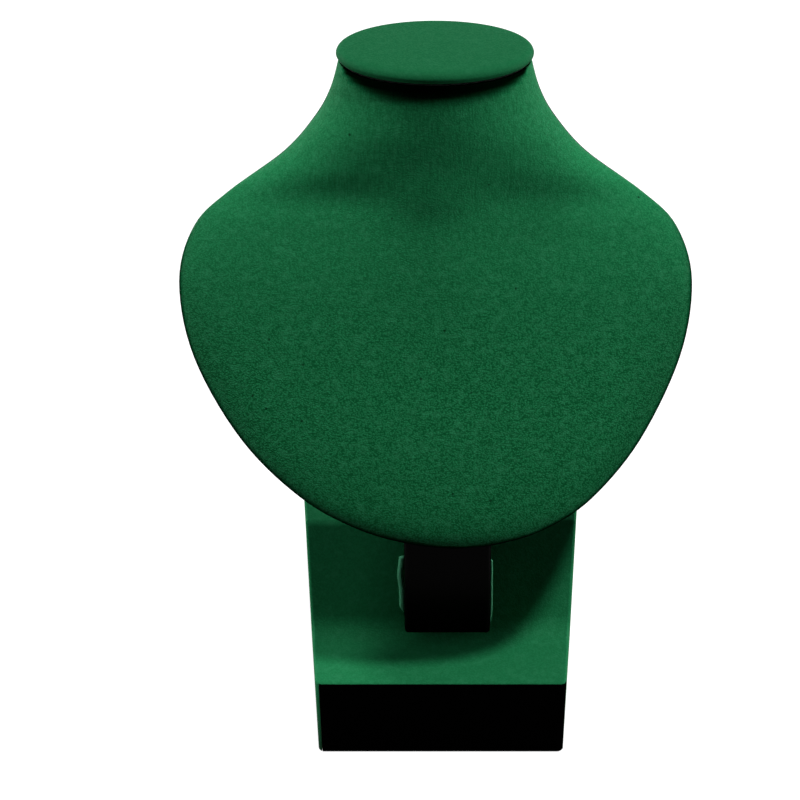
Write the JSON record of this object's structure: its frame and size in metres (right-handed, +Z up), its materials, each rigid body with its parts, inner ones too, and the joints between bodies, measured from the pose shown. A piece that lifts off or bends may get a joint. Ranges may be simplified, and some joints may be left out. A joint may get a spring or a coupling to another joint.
{
  "type": "necklace stand",
  "caption": "Leatherette bust with an oval neck cap on a black post, standing on a stepped base with a black front board.",
  "frame": {"origin": "centre of the base's underside on the table, halfway between its front and back edges", "axes": "+Z up, +X to the right, the front of the bust faces -Y"},
  "size_m": [0.202, 0.0987, 0.3117],
  "materials": {
    "leatherette": "fine grained green leatherette, satin",
    "black_lacquer": "black lacquer, glossy",
    "black_board": "matt black paint",
    "board": "raw fibreboard",
    "moulded_form": "moulded, matt black",
    "black_cloth": "black lining cloth",
    "felt": "black felt",
    "screw_steel": "zinc plated"
  },
  "bodies": {
    "root": {"base_wrap": "leatherette", "plinth_block": "board", "upright_block": "board", "front_board": "black_board", "base_felt": "felt", "base_screws": "screw_steel", "post": "black_lacquer", "bust_form": "moulded_form", "bust_wrap": "leatherette", "back_lining": "black_cloth", "neck_collar": "black_board", "neck_cap": "leatherette"}
  },
  "joints": []
}
